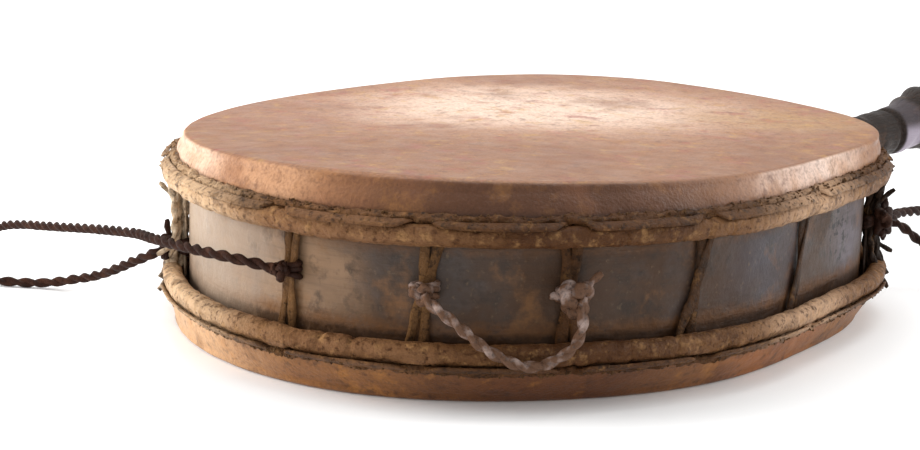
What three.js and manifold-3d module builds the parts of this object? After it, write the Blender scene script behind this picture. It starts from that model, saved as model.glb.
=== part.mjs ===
// Ceremonial frame drum with two hide heads, laced hoops, three twisted cord loops and a carved handle.
// Millimetres, +Z up. The drum lies flat: its underside is z = 0 and its axis is the Z axis.
import * as THREE from 'three';
import { mergeVertices } from 'three/addons/utils/BufferGeometryUtils.js';
import Module from 'manifold-3d';

const wasm = await Module();
wasm.setup();

// Drum body
const drumRadius = 205;        // mean radius of the centre line of the hoops
const drumHeight = 109.7;      // over both hide heads
const upperHoopDrop = 23.2;    // centre of the upper hoop below the top face
const lowerHoopRise = 27.9;    // centre of the lower hoop above the underside
const hoopThickness = 11.8;
const shellThickness = 6;
const hideThickness = 1.5;
const headRounding = 4;        // outside radius where a head turns down over the shell's edge
const skirtFlare = 20;         // degrees that the hide skirt leans out from upright
const skirtClearance = 0.8;    // between the skirt's foot and the hoop
const seatGap = 0.4;           // between pieces that touch

// Lacing of rawhide thong
const laceThickness = 2.2;
const lacePlay = 0.6;          // on both faces of a lace, between shell and hoop
const laceStrandWidth = 6;
const laceSpread = 9;          // between the middles of a lace's two strands, behind the hoops
const laceWaistWidth = 8;      // where the two strands cross
const laceCrotch = 9;          // height of the crossing above and below its middle
const laceHiddenLength = 3;    // that a lace reaches past the centre of a hoop
const thongWidth = 5.5;
const thongThickness = 2;
const thongTilt = 65;          // degrees round the hoop's section, from its outer side to the thong

// Handle of carved dark wood
const handleAngle = 48;        // degrees round the drum, from +X
const handleHeight = 57;       // of its axis at the shell
const handleTilt = 3.3;        // degrees that it rises outwards
const handleTenonRadius = 9;
const handleTenonReach = 5;    // past the inside of the shell
const handleHoleGap = 0.5;
const handleLift = 3;          // rise of the carved head's middle above the handle's axis
const handleGrooveDepth = 2.2;
const handleGrooveCount = 5;
const handleGroovePitch = 110; // length of one full turn of a groove

// Cords of twisted rawhide and their knots
const cordDiameter = 6;
const knotRadius = 7.5;

// Fineness of the curved faces
const ringSteps = 60;
const hoopSides = 8;
const cordSides = 8;
const handleSides = 20;

// Waves swell a round form so many times in one turn: here its hand-bent plan
const outlineWaves = [
  { swells: 2, alongX: -7.1, alongY: 16.9 },
  { swells: 3, alongX: 0.1, alongY: 1.2 },
  { swells: 4, alongX: 3.2, alongY: -2.1 },
  { swells: 5, alongX: 2, alongY: 2.5 },
  { swells: 6, alongX: 0.5, alongY: 1.2 },
];

// The rims of the bent shell, and the heads over them, are out of true: the upper one rises and falls and
// leans out and in, and the lower one leans out at the left and in at the front.
const upperRimRise = [
  { swells: 1, alongX: 0.9, alongY: 0.1 },
  { swells: 2, alongX: -2.3, alongY: 1 },
  { swells: 3, alongX: 0.9, alongY: -0.4 },
];
const upperRimReach = [
  { swells: 1, alongX: 1.4, alongY: 0.5 },
  { swells: 2, alongX: 2.9, alongY: 1.2 },
];
const lowerRimReach = [
  { swells: 0, alongX: -1.5, alongY: 0 },
  { swells: 1, alongX: -3.3, alongY: 3.3 },
  { swells: 2, alongX: 2.9, alongY: 1.1 },
  { swells: 3, alongX: -1.3, alongY: -1.5 },
];

// Laces: place round the drum in degrees from +X, and how far the top of each leans along the rim.
const laces = [
  { at: 193.5, lean: 0 }, { at: 235.8, lean: 2 }, { at: 255.3, lean: 4 }, { at: 274.5, lean: 0 },
  { at: 295.1, lean: 8 }, { at: 324, lean: 8 }, { at: 1.9, lean: 4 }, { at: 24, lean: 0 },
  { at: 72, lean: 5 }, { at: 95, lean: 0 }, { at: 117, lean: 5 }, { at: 136, lean: 0 },
  { at: 155, lean: 5 }, { at: 174, lean: 0 },
];

// Handle turning: distance from the shell's outer face, and radius there.
const handleTurning = [
  [0, 15], [8, 16], [14, 18.5], [19, 18.5], [24, 15], [60, 14], [118, 15], [126, 18.5], [134, 18.5],
  [140, 15], [147, 16.3], [154, 15.3], [163, 16.3], [172, 16], [179, 16.3], [184, 14.3], [189, 16.8],
  [206, 17.5], [220, 20.5], [240, 24], [258, 22], [272, 16], [280, 18.5], [291, 19.5], [301, 14],
];
const handleEnd = 305;
const handleCarvedFrom = 196;
const handleCarvedTo = 270;

// Loop cords, hand-placed points of each centre line, from knot to knot.
const leftRoute = [
  [-133, -181, 61.5], [-152.6, -171, 63.4], [-172, -152, 62.8], [-187, -128, 60.4], [-201.5, -100, 57],
  [-216.5, -64, 52], [-247, -12, 43], [-278, 35, 34], [-310, 83, 25], [-326, 106, 19],
  [-341, 128, 11], [-354, 142, 5], [-370, 144, 3.2], [-384, 132, 3.2], [-389, 111, 3.2],
  [-382, 85, 3.2], [-365, 58, 3.2], [-340, 34, 3.2], [-312, 22, 3.2], [-289, 18.5, 3.3],
  [-275, 16, 4.8], [-262, 8, 8.8], [-249, -3, 13.5], [-236, -17, 20.5], [-222, -34, 29.5],
  [-208.5, -47.5, 37.5],
];
const frontRoute = [
  [-50.2, -223, 54], [-45.4, -226.2, 51], [-39.6, -227.6, 47], [-33.4, -227.9, 41.8],
  [-27.1, -227.7, 36.6], [-19.8, -227.2, 31.8], [-12.6, -226.5, 28.3], [-7.7, -225.8, 26.3],
  [-2.9, -225, 25.8], [2.3, -224, 26.1], [7.6, -222.9, 28], [12.8, -221.7, 30.8], [17, -220.6, 34],
  [19.8, -219.5, 38.2], [21.5, -218.7, 43.1], [21.8, -217.6, 48.7],
];
const rightRoute = [
  [213.6, 10.8, 59.2], [219.5, 24, 59], [228, 37, 57.5], [238, 50, 55.8], [257, 72, 50], [280, 98, 38],
  [302, 120, 22], [319, 134, 10], [334, 140, 4.2], [349, 136, 3.2], [359, 122, 3.2], [359, 103, 3.2],
  [347, 87, 3.2], [328, 79, 3.2], [306, 78, 4], [284, 82, 10], [264, 87, 19], [249, 89.5, 28],
  [240, 87, 35.5], [230.5, 83, 41.5], [217, 83.5, 45.5], [205.5, 86, 47.6],
];

// Each knot sits on the waist of a lace, at its own height.
const knots = [
  { name: 'left_cord_knot_1', lace: 1, height: 60 }, { name: 'left_cord_knot_2', lace: 0, height: 42 },
  { name: 'front_cord_knot_1', lace: 2, height: 58 }, { name: 'front_cord_knot_2', lace: 3, height: 57 },
  { name: 'right_cord_knot_1', lace: 6, height: 58 }, { name: 'right_cord_knot_2', lace: 7, height: 48 },
];

// Worked out from the sizes above
const hoopRadius = hoopThickness / 2;
const upperHoopHeight = drumHeight - upperHoopDrop;
const laceOuterRadius = drumRadius - hoopRadius - lacePlay;
const laceInnerRadius = laceOuterRadius - laceThickness;
const shellOuterRadius = laceInnerRadius - lacePlay;
const shellInnerRadius = shellOuterRadius - shellThickness;
const shellRounding = headRounding - hideThickness - seatGap;
const headFlatRadius = shellOuterRadius - shellRounding;
const upperFoot = upperHoopHeight + hoopRadius + skirtClearance;
const lowerFoot = lowerHoopRise - hoopRadius - skirtClearance;
const degrees = Math.PI / 180;

const rawhide = { color: 0x9a7650, roughness: 0.75 };
const materials = {
  shell: { color: 0x6b5d4c, roughness: 0.45 },
  head: { color: 0xa87450, roughness: 0.5 },
  hoop: { color: 0x9c6d3c, roughness: 0.6 },
  lacing: rawhide,
  cord: { color: 0x3d2b22, roughness: 0.6 },
  handle: { color: 0x2e2623, roughness: 0.4 },
};

function swell(waves, angle) {
  return waves.reduce((sum, wave) =>
    sum + wave.alongX * Math.cos(wave.swells * angle) + wave.alongY * Math.sin(wave.swells * angle), 0);
}

// Share of the mean radius at an angle round the drum
function outlineShare(angle) {
  return 1 + swell(outlineWaves, angle) / drumRadius;
}

function pointOnDrum(radius, angle, height) {
  const reach = radius * outlineShare(angle);
  return new THREE.Vector3(reach * Math.cos(angle), reach * Math.sin(angle), height);
}

// Level direction square to the drum's side at an angle
function outwardAt(angle) {
  const step = 0.01;
  const along = pointOnDrum(drumRadius, angle + step, 0).sub(pointOnDrum(drumRadius, angle - step, 0));
  return new THREE.Vector3(along.y, -along.x, 0).normalize();
}

// Turns a round geometry about Z into one that follows the drum's outline.
function followOutline(geometry) {
  const position = geometry.attributes.position;
  for (let i = 0; i < position.count; i += 1) {
    const share = outlineShare(Math.atan2(position.getY(i), position.getX(i)));
    position.setXY(i, position.getX(i) * share, position.getY(i) * share);
  }
  return geometry;
}

// A profile of [radius, height] points, listed up the outside, turned about Z.
function turned(profile, sides) {
  const points = profile.map(([radius, height]) => new THREE.Vector2(radius, height));
  return new THREE.LatheGeometry(points, sides).rotateX(Math.PI / 2);
}

// Moves the parts of a round geometry beyond the hoops as the drum's rims are out of true.
function followRims(geometry) {
  const position = geometry.attributes.position;
  for (let i = 0; i < position.count; i += 1) {
    const [x, y, height] = [position.getX(i), position.getY(i), position.getZ(i)];
    const angle = Math.atan2(y, x);
    const upper = Math.max(0, (height - upperFoot) / (drumHeight - upperFoot));
    const lower = Math.max(0, (lowerFoot - height) / lowerFoot);
    const reach = upper * swell(upperRimReach, angle) + lower * swell(lowerRimReach, angle);
    const rise = upper * swell(upperRimRise, angle);
    const share = outlineShare(angle) + reach / headFlatRadius;
    position.setXYZ(i, x * share, y * share, height + rise * Math.hypot(x, y) / headFlatRadius);
  }
  return geometry;
}

function ringOf(profile) {
  return followOutline(turned(profile, ringSteps));
}

function arcPoints(centreRadius, centreHeight, radius, from, to, steps) {
  const points = [];
  for (let i = 0; i <= steps; i += 1) {
    const turn = (from + (to - from) * i / steps) * degrees;
    points.push([centreRadius + radius * Math.cos(turn), centreHeight + radius * Math.sin(turn)]);
  }
  return points;
}

// One face of a hide head in section, from the skirt's foot up to the flat and in to the axis
function headFace(inset, footHeight) {
  const turn = skirtFlare * degrees;
  const radius = headRounding - inset;
  const arcHeight = drumHeight - headRounding;
  const bend = arcPoints(headFlatRadius, arcHeight, radius, skirtFlare, 90, 3);
  const drop = (bend[0][1] - footHeight) / Math.cos(turn);
  const foot = [bend[0][0] + drop * Math.sin(turn), footHeight];
  return [foot, ...bend, [0, drumHeight - inset]];
}

function upperHead(hoopDrop) {
  const footHeight = drumHeight - hoopDrop + hoopRadius + skirtClearance;
  const outside = headFace(0, footHeight);
  const inside = headFace(hideThickness, footHeight).reverse();
  return turned([...inside, ...outside], ringSteps);
}

// The lower head is the same form, turned over.
function lowerHead() {
  const geometry = upperHead(lowerHoopRise);
  geometry.rotateX(Math.PI).translate(0, 0, drumHeight);
  return followRims(geometry);
}

function shellRing() {
  const edge = drumHeight - hideThickness - seatGap;
  const foot = hideThickness + seatGap;
  const upperBend = arcPoints(headFlatRadius, edge - shellRounding, shellRounding, 0, 90, 2);
  const lowerBend = arcPoints(headFlatRadius, foot + shellRounding, shellRounding, -90, 0, 2);
  return followRims(turned([[shellInnerRadius, foot], ...lowerBend,
    [shellOuterRadius, lowerFoot], [shellOuterRadius, upperFoot], ...upperBend,
    [shellInnerRadius, edge], [shellInnerRadius, upperFoot], [shellInnerRadius, lowerFoot],
    [shellInnerRadius, foot]], ringSteps));
}

function hoop(height) {
  return ringOf(arcPoints(drumRadius, height, hoopRadius, -180, 180, hoopSides));
}

// A flat thong that lies along a hoop: side is 1 on its top and -1 on its underside.
function thong(hoopHeight, side) {
  const turn = thongTilt * degrees;
  const out = [Math.cos(turn), side * Math.sin(turn)];
  const along = [Math.sin(turn), -side * Math.cos(turn)];
  const near = hoopRadius + seatGap;
  const corners = [[near, -1], [near, 1], [near + thongThickness, 1], [near + thongThickness, -1], [near, -1]];
  const profile = corners.map(([reach, end]) => [
    drumRadius + out[0] * reach + along[0] * end * thongWidth / 2,
    hoopHeight + out[1] * reach + along[1] * end * thongWidth / 2]);
  return ringOf(side > 0 ? profile : profile.reverse());
}

// Two crossing strands as one hourglass shape, laid on the shell
function lace(at, lean) {
  const top = upperHoopHeight + laceHiddenLength;
  const bottom = lowerHoopRise - laceHiddenLength;
  const middle = (upperHoopHeight + lowerHoopRise) / 2;
  const half = laceStrandWidth / 2;
  const spread = laceSpread / 2;
  const outline = new THREE.Shape([
    [-spread - half - lean, bottom], [-spread + half - lean, bottom], [0, middle - laceCrotch],
    [spread - half - lean, bottom], [spread + half - lean, bottom], [laceWaistWidth / 2, middle],
    [spread + half + lean, top], [spread - half + lean, top], [0, middle + laceCrotch],
    [-spread + half + lean, top], [-spread - half + lean, top], [-laceWaistWidth / 2, middle],
  ].map(([along, height]) => new THREE.Vector2(along, height)));
  const geometry = new THREE.ExtrudeGeometry(outline, { depth: laceThickness, bevelEnabled: false });
  const position = geometry.attributes.position;
  for (let i = 0; i < position.count; i += 1) {
    const angle = at * degrees + position.getX(i) / drumRadius;
    const point = pointOnDrum(laceInnerRadius + position.getZ(i), angle, position.getY(i));
    position.setXYZ(i, point.x, point.y, point.z);
  }
  return geometry;
}

function cord(route) {
  const path = new THREE.CatmullRomCurve3(route.map((point) => new THREE.Vector3(...point)));
  const section = new THREE.Shape().absarc(0, 0, cordDiameter / 2, 0, 2 * Math.PI);
  const steps = Math.round(path.getLength() / (3 * cordDiameter)) + 3;
  return new THREE.ExtrudeGeometry(section,
    { steps, extrudePath: path, curveSegments: cordSides / 2, bevelEnabled: false });
}

function knot(place, height) {
  const angle = place * degrees;
  const centre = pointOnDrum(laceOuterRadius, angle, height);
  centre.addScaledVector(outwardAt(angle), seatGap + knotRadius);
  return new THREE.SphereGeometry(knotRadius, 8, 6).translate(centre.x, centre.y, centre.z);
}

// A closed geometry as a solid for joining and cutting, and back
function solidOf(geometry) {
  const plain = geometry.clone().deleteAttribute('normal').deleteAttribute('uv');
  const merged = mergeVertices(plain, 1e-4);
  const index = merged.index.array;
  const corners = [];
  for (let i = 0; i < index.length; i += 3) {
    const [a, b, c] = index.slice(i, i + 3);
    if (a !== b && b !== c && c !== a) corners.push(a, b, c);
  }
  return new wasm.Manifold(new wasm.Mesh({
    numProp: 3,
    vertProperties: new Float32Array(merged.attributes.position.array),
    triVerts: new Uint32Array(corners),
  }));
}

function geometryOf(solid) {
  const mesh = solid.getMesh();
  const geometry = new THREE.BufferGeometry();
  geometry.setAttribute('position', new THREE.BufferAttribute(mesh.vertProperties.slice(), 3));
  geometry.setIndex(new THREE.BufferAttribute(mesh.triVerts.slice(), 1));
  geometry.computeVertexNormals();
  return geometry;
}

// Lays a form that was turned about Z along the handle, with its zero on the shell's outer face.
function alongHandle(geometry) {
  const root = pointOnDrum(shellOuterRadius, handleAngle * degrees, handleHeight);
  return geometry.rotateY(Math.PI / 2 - handleTilt * degrees).rotateZ(handleAngle * degrees).translate(root.x, root.y, root.z);
}

function handleRod(radius, from, to) {
  return alongHandle(turned([[0, from], [radius, from], [radius, to], [0, to]], handleSides));
}

// Spiral grooves and the raised middle of the carved head
function carveHandle(geometry) {
  const position = geometry.attributes.position;
  for (let i = 0; i < position.count; i += 1) {
    const along = position.getZ(i);
    const share = THREE.MathUtils.clamp((along - handleCarvedFrom) / (handleCarvedTo - handleCarvedFrom), 0, 1);
    const bump = Math.sin(Math.PI * share);
    const turn = Math.atan2(position.getY(i), position.getX(i));
    const phase = handleGrooveCount * (turn - 2 * Math.PI * along / handleGroovePitch);
    const radius = Math.hypot(position.getX(i), position.getY(i));
    const carved = radius > 0 ? radius + handleGrooveDepth / 2 * bump * (Math.cos(phase) - 1) : 0;
    const lift = handleLift * bump;
    position.setXY(i, carved * Math.cos(turn) - lift, carved * Math.sin(turn));
  }
  return geometry;
}

function handle() {
  const profile = [[0, -headRounding], [handleTurning[0][1], -headRounding],
    ...handleTurning.map(([along, radius]) => [radius, along]), [0, handleEnd]];
  const body = solidOf(alongHandle(carveHandle(turned(profile, handleSides))));
  const seat = solidOf(ringOf([[0, 0], [shellOuterRadius + seatGap, 0],
    [shellOuterRadius + seatGap, drumHeight], [0, drumHeight]]));
  const tenon = solidOf(handleRod(handleTenonRadius, -shellThickness - handleTenonReach, hoopRadius));
  return geometryOf(body.subtract(seat).add(tenon));
}

function shell() {
  const hole = handleRod(handleTenonRadius + handleHoleGap, -3 * shellThickness, 2 * shellThickness);
  return geometryOf(solidOf(shellRing()).subtract(solidOf(hole)));
}

const drum = new THREE.Group();

function addPiece(name, geometry, look) {
  const mesh = new THREE.Mesh(geometry, new THREE.MeshStandardMaterial({ metalness: 0, ...look }));
  mesh.name = name;
  drum.add(mesh);
}

addPiece('shell', shell(), materials.shell);
addPiece('upper_head', followRims(upperHead(upperHoopDrop)), materials.head);
addPiece('lower_head', lowerHead(), materials.head);
addPiece('upper_hoop', hoop(upperHoopHeight), materials.hoop);
addPiece('lower_hoop', hoop(lowerHoopRise), materials.hoop);
addPiece('upper_thong', thong(upperHoopHeight, 1), materials.lacing);
addPiece('lower_thong', thong(lowerHoopRise, -1), materials.lacing);
laces.forEach(({ at, lean }, i) => {
  addPiece(`lace_${String(i + 1).padStart(2, '0')}`, lace(at, lean), materials.lacing);
});
addPiece('handle', handle(), materials.handle);
addPiece('left_cord', cord(leftRoute), materials.cord);
addPiece('front_cord', cord(frontRoute), materials.cord);
addPiece('right_cord', cord(rightRoute), materials.cord);
knots.forEach(({ name, lace: index, height }) => {
  addPiece(name, knot(laces[index].at, height), materials.cord);
});

export default drum;
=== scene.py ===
# Ceremonial frame drum: hide heads, laced hoops, bent wood shell, twisted cord loops and a carved handle.
# Sizes of the drum are in millimetres, as in its CAD source; meshes and the scene are in metres.
import random
from math import atan2, cos, degrees, exp, hypot, pi, radians, sin, tau

import bmesh
import bpy
from mathutils import Matrix, Vector, noise


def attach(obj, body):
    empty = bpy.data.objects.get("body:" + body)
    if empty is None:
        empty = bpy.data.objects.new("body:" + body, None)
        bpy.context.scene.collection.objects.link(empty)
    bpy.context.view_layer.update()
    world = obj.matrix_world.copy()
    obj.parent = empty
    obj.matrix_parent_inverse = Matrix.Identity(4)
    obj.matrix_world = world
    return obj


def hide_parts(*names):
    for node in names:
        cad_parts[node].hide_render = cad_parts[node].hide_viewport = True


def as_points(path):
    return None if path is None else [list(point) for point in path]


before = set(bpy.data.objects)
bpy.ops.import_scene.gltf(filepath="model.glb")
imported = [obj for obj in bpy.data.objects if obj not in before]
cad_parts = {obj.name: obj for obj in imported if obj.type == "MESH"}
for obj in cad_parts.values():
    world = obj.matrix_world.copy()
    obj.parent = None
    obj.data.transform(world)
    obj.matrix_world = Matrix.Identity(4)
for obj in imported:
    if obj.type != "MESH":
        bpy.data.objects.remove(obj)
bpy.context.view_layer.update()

MM = 0.001

# Drum sizes, in millimetres
DRUM_RADIUS = 205
DRUM_HEIGHT = 109.7
UPPER_HOOP_DROP = 23.2
UPPER_HOOP_HEIGHT = DRUM_HEIGHT - UPPER_HOOP_DROP
LOWER_HOOP_HEIGHT = 27.9
HOOP_RADIUS = 5.9
SHELL_THICKNESS = 6
HIDE_THICKNESS = 1.5
HEAD_ROUNDING = 4
SKIRT_FLARE = radians(20)
SKIRT_CLEARANCE = 0.8
SEAT_GAP = 0.4
LACE_THICKNESS = 2.2
LACE_PLAY = 0.6
LACE_STRAND_WIDTH = 6
THONG_WIDTH = 5.5
THONG_THICKNESS = 2
THONG_STEPS = 1440
THONG_TURN = radians(54)
THONG_DIVE = radians(70)
CORD_DIAMETER = 6
CORD_SIDES = 10
KNOT_RADIUS = 7.5
KNOT_STEPS = 160
KNOT_STRIP_RADIUS = 3.0
WRAP_DROPS = (-2.6, 0.2, 2.7)
WRAP_STEPS = 40
WRAP_RADIUS = 1.6
HANDLE_ANGLE = radians(48)
HANDLE_HEIGHT = 57
HANDLE_TILT = radians(3.3)
HANDLE_LIFT = 3
HANDLE_END = 305
HANDLE_CARVED = (196, 270)
HANDLE_GROOVES = 5
HANDLE_GROOVE_PITCH = 110
HANDLE_GROOVE_DEPTH = 2.2
HANDLE_UV_RADIUS = 16
TENON_RADIUS = 9
TENON_REACH = 5

LACE_OUTER = DRUM_RADIUS - HOOP_RADIUS - LACE_PLAY
LACE_INNER = LACE_OUTER - LACE_THICKNESS
SHELL_OUTER = LACE_INNER - LACE_PLAY
SHELL_ROUNDING = HEAD_ROUNDING - HIDE_THICKNESS - SEAT_GAP
HEAD_FLAT = SHELL_OUTER - SHELL_ROUNDING
UPPER_FOOT = UPPER_HOOP_HEIGHT + HOOP_RADIUS + SKIRT_CLEARANCE
LOWER_FOOT = LOWER_HOOP_HEIGHT - HOOP_RADIUS - SKIRT_CLEARANCE

# The hand-bent outline, as in the CAD source: swells in one turn, along X and along Y
OUTLINE_WAVES = [(2, -7.1, 16.9), (3, 0.1, 1.2), (4, 3.2, -2.1), (5, 2.0, 2.5), (6, 0.5, 1.2)]

# The rims are out of true, as in the CAD source: rise and reach of the upper one, reach of the lower one
UPPER_RIM_RISE = [(1, 0.9, 0.1), (2, -2.3, 1.0), (3, 0.9, -0.4)]
UPPER_RIM_REACH = [(1, 1.4, 0.5), (2, 2.9, 1.2)]
LOWER_RIM_REACH = [(0, -1.5, 0), (1, -3.3, 3.3), (2, 2.9, 1.1), (3, -1.3, -1.5)]

# Laces: degrees round the drum, lean of the top along the rim, and how the strands cross
LACES = [
    (193.5, 0, "outer"), (235.8, 2, "tied"), (255.3, 4, "tied"), (274.5, 0, "tied"),
    (295.1, 8, "crossed"), (324, 8, "crossed"), (1.9, 4, "outer"), (24, 0, "tied"),
    (72, 5, "crossed"), (95, 0, "twin"), (117, 5, "crossed"), (136, 0, "twin"),
    (155, 5, "crossed"), (174, 0, "twin"),
]

# Cord routes: the points of part.mjs, in metres
LEFT_ROUTE = [
    (-.133, -.181, .0615), (-.1526, -.171, .0634), (-.172, -.152, .0628), (-.187, -.128, .0604),
    (-.2015, -.1, .057), (-.2165, -.064, .052), (-.247, -.012, .043), (-.278, .035, .034),
    (-.31, .083, .025), (-.326, .106, .019), (-.341, .128, .011), (-.354, .142, .005),
    (-.37, .144, .0032), (-.384, .132, .0032), (-.389, .111, .0032), (-.382, .085, .0032),
    (-.365, .058, .0032), (-.34, .034, .0032), (-.312, .022, .0032), (-.289, .0185, .0033),
    (-.275, .016, .0048), (-.262, .008, .0088), (-.249, -.003, .0135), (-.236, -.017, .0205),
    (-.222, -.034, .0295), (-.2085, -.0475, .0375),
]
FRONT_ROUTE = [
    (-.0502, -.223, .054), (-.0454, -.2262, .051), (-.0396, -.2276, .047), (-.0334, -.2279, .0418),
    (-.0271, -.2277, .0366), (-.0198, -.2272, .0318), (-.0126, -.2265, .0283), (-.0077, -.2258, .0263),
    (-.0029, -.225, .0258), (.0023, -.224, .0261), (.0076, -.2229, .028), (.0128, -.2217, .0308),
    (.017, -.2206, .034), (.0198, -.2195, .0382), (.0215, -.2187, .0431), (.0218, -.2176, .0487),
]
RIGHT_ROUTE = [
    (.2136, .0108, .0592), (.2195, .024, .059), (.228, .037, .0575), (.238, .05, .0558),
    (.257, .072, .05), (.28, .098, .038), (.302, .12, .022), (.319, .134, .01), (.334, .14, .0042),
    (.349, .136, .0032), (.359, .122, .0032), (.359, .103, .0032), (.347, .087, .0032),
    (.328, .079, .0032), (.306, .078, .004), (.284, .082, .01), (.264, .087, .019),
    (.249, .0895, .028), (.24, .087, .0355), (.2305, .083, .0415), (.217, .0835, .0455),
    (.2055, .086, .0476),
]

# Knots: lace they sit on, height in millimetres, size against the plain one, and their cut ends: along the
# rim, up, and length, in millimetres
KNOTS = {
    "left_cord_knot_1": (1, 60, 0.62, [(3, 4, 5)]),
    "left_cord_knot_2": (0, 42, 1.0, [(-2, 6, 10), (4, -3, 6)]),
    "front_cord_knot_1": (2, 58, 0.72, [(-4, 2, 4)]),
    "front_cord_knot_2": (3, 57, 1.15, [(7, 7, 9), (-8, 1, 6)]),
    "right_cord_knot_1": (6, 58, 1.1, [(4, 7, 9), (-5, 3, 6), (3, -7, 7)]),
    "right_cord_knot_2": (7, 48, 0.9, [(4, 5, 7)]),
}

# Camera, from the fit of the outlines: place in metres, angles in degrees
CAMERA_PLACE = (-0.0382, -1.2064, 0.2891)
CAMERA_DOWN = 11.2525
CAMERA_ROLL = 1.636
CAMERA_LENS = 83.2


# Camera and stage

def put(name, data):
    """A new object in the scene."""
    made = bpy.data.objects.new(name, data)
    bpy.context.scene.collection.objects.link(made)
    return made


def place_camera():
    lens = bpy.data.cameras.new("camera")
    lens.sensor_width = 36
    lens.sensor_fit = "HORIZONTAL"
    lens.lens = CAMERA_LENS
    camera = put("camera", lens)
    tilt = Matrix.Rotation(radians(90 - CAMERA_DOWN), 4, "X")
    roll = Matrix.Rotation(radians(CAMERA_ROLL), 4, "Z")
    camera.matrix_world = Matrix.Translation(CAMERA_PLACE) @ tilt @ roll
    bpy.context.scene.camera = camera


def add_light(name, place, target, size, power):
    lamp = bpy.data.lights.new(name, "AREA")
    lamp.shape = "RECTANGLE"
    lamp.size, lamp.size_y = size
    lamp.energy = power
    light = put(name, lamp)
    light.location = place
    aim = Vector(target) - Vector(place)
    light.rotation_euler = aim.to_track_quat("-Z", "Y").to_euler()


# Outline of the drum

def swell(waves, angle):
    return sum(along_x * cos(swells * angle) + along_y * sin(swells * angle)
               for swells, along_x, along_y in waves)


def on_drum(radius, angle, height):
    reach = radius * (1 + swell(OUTLINE_WAVES, angle) / DRUM_RADIUS)
    return Vector((reach * cos(angle), reach * sin(angle), height)) * MM


def on_rims(radius, angle, height):
    """As on_drum, with the rims out of true beyond the hoops."""
    upper = max(0, (height - UPPER_FOOT) / (DRUM_HEIGHT - UPPER_FOOT))
    lower = max(0, (LOWER_FOOT - height) / LOWER_FOOT)
    reach = upper * swell(UPPER_RIM_REACH, angle) + lower * swell(LOWER_RIM_REACH, angle)
    rise = upper * swell(UPPER_RIM_RISE, angle)
    outward = radius / HEAD_FLAT
    return on_drum(radius, angle, height + rise * outward) + Vector(
        (cos(angle), sin(angle), 0)) * reach * outward * MM


def outward_at(angle):
    step = 0.01
    along = on_drum(DRUM_RADIUS, angle + step, 0) - on_drum(DRUM_RADIUS, angle - step, 0)
    return Vector((along.y, -along.x, 0)).normalized()


def handle_axes():
    """The handle's root on the shell, and its directions along, to the side and up."""
    root = on_drum(SHELL_OUTER, HANDLE_ANGLE, HANDLE_HEIGHT)
    along = Vector((cos(HANDLE_ANGLE) * cos(HANDLE_TILT), sin(HANDLE_ANGLE) * cos(HANDLE_TILT),
                    sin(HANDLE_TILT)))
    side = Vector((-sin(HANDLE_ANGLE), cos(HANDLE_ANGLE), 0))
    return root, along, side, along.cross(side)


def turn_between(angle, other):
    return (angle - other + pi) % tau - pi


def lace_distance(angle):
    """Distance along the rim to the nearest lace, in millimetres."""
    return min(abs(turn_between(angle, radians(at))) * DRUM_RADIUS for at, lean, kind in LACES)


def wander(seed, place, size):
    """Smooth noise from -1 to 1 that changes over about the given size in millimetres."""
    return noise.noise(Vector(place) / size + Vector((seed * 17.3, seed * 5.1, seed * 3.7)))


def waver(seed, along, size):
    """As wander, along a line."""
    return wander(seed, (along, 0, 0), size)


def turns(steps):
    return [tau * i / steps for i in range(steps)]


def evenly(total, steps):
    """Lengths from 0 to the total in even steps."""
    return [total * i / steps for i in range(steps + 1)]


# Mesh making

def finish_mesh(name, mesh, material):
    mesh.materials.clear()
    mesh.materials.append(material)
    for face in mesh.polygons:
        face.use_smooth = True
    return put(name, mesh)


def grid_mesh(name, rows, along, around, closed_rows, material, caps=False):
    """A skin over rows of points; each row is a closed ring of points. Along and around are lengths for UV."""
    count = len(rows[0])
    mesh = bpy.data.meshes.new(name)
    points = [tuple(point) for row in rows for point in row]
    faces = []
    corners = []
    for i in range(len(rows) if closed_rows else len(rows) - 1):
        here = i * count
        there = (i + 1) % len(rows) * count
        for j in range(count):
            k = (j + 1) % count
            faces.append((here + j, there + j, there + k, here + k))
            corners += [(along[a], around[b]) for a, b in ((i, j), (i + 1, j), (i + 1, j + 1), (i, j + 1))]
    if caps:
        faces.append(tuple(range(count)))
        faces.append(tuple(reversed(range((len(rows) - 1) * count, len(rows) * count))))
    mesh.from_pydata(points, [], faces)
    layer = mesh.uv_layers.new(name="UVMap")
    for corner, uv in zip(layer.data, corners):
        corner.uv = uv
    work = bmesh.new()
    work.from_mesh(mesh)
    bmesh.ops.remove_doubles(work, verts=work.verts, dist=1e-6)
    bmesh.ops.recalc_face_normals(work, faces=work.faces)
    work.to_mesh(mesh)
    work.free()
    return finish_mesh(name, mesh, material)


def lengths_of(profile):
    total = [0]
    for a, b in zip(profile, profile[1:] + profile[:1]):
        total.append(total[-1] + hypot(b[0] - a[0], b[1] - a[1]) * MM)
    return total


def ring_piece(name, profile, steps, shift, material, place=on_drum):
    """A profile of (radius, height) turned round the drum; shift moves each point by its angle."""
    rows = []
    for angle in turns(steps):
        shifted = [shift(angle, j, *point) for j, point in enumerate(profile)]
        rows.append([place(radius, angle, height) for radius, height in shifted])
    return grid_mesh(name, rows, evenly(tau * DRUM_RADIUS * MM, steps), lengths_of(profile), True, material)


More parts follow.
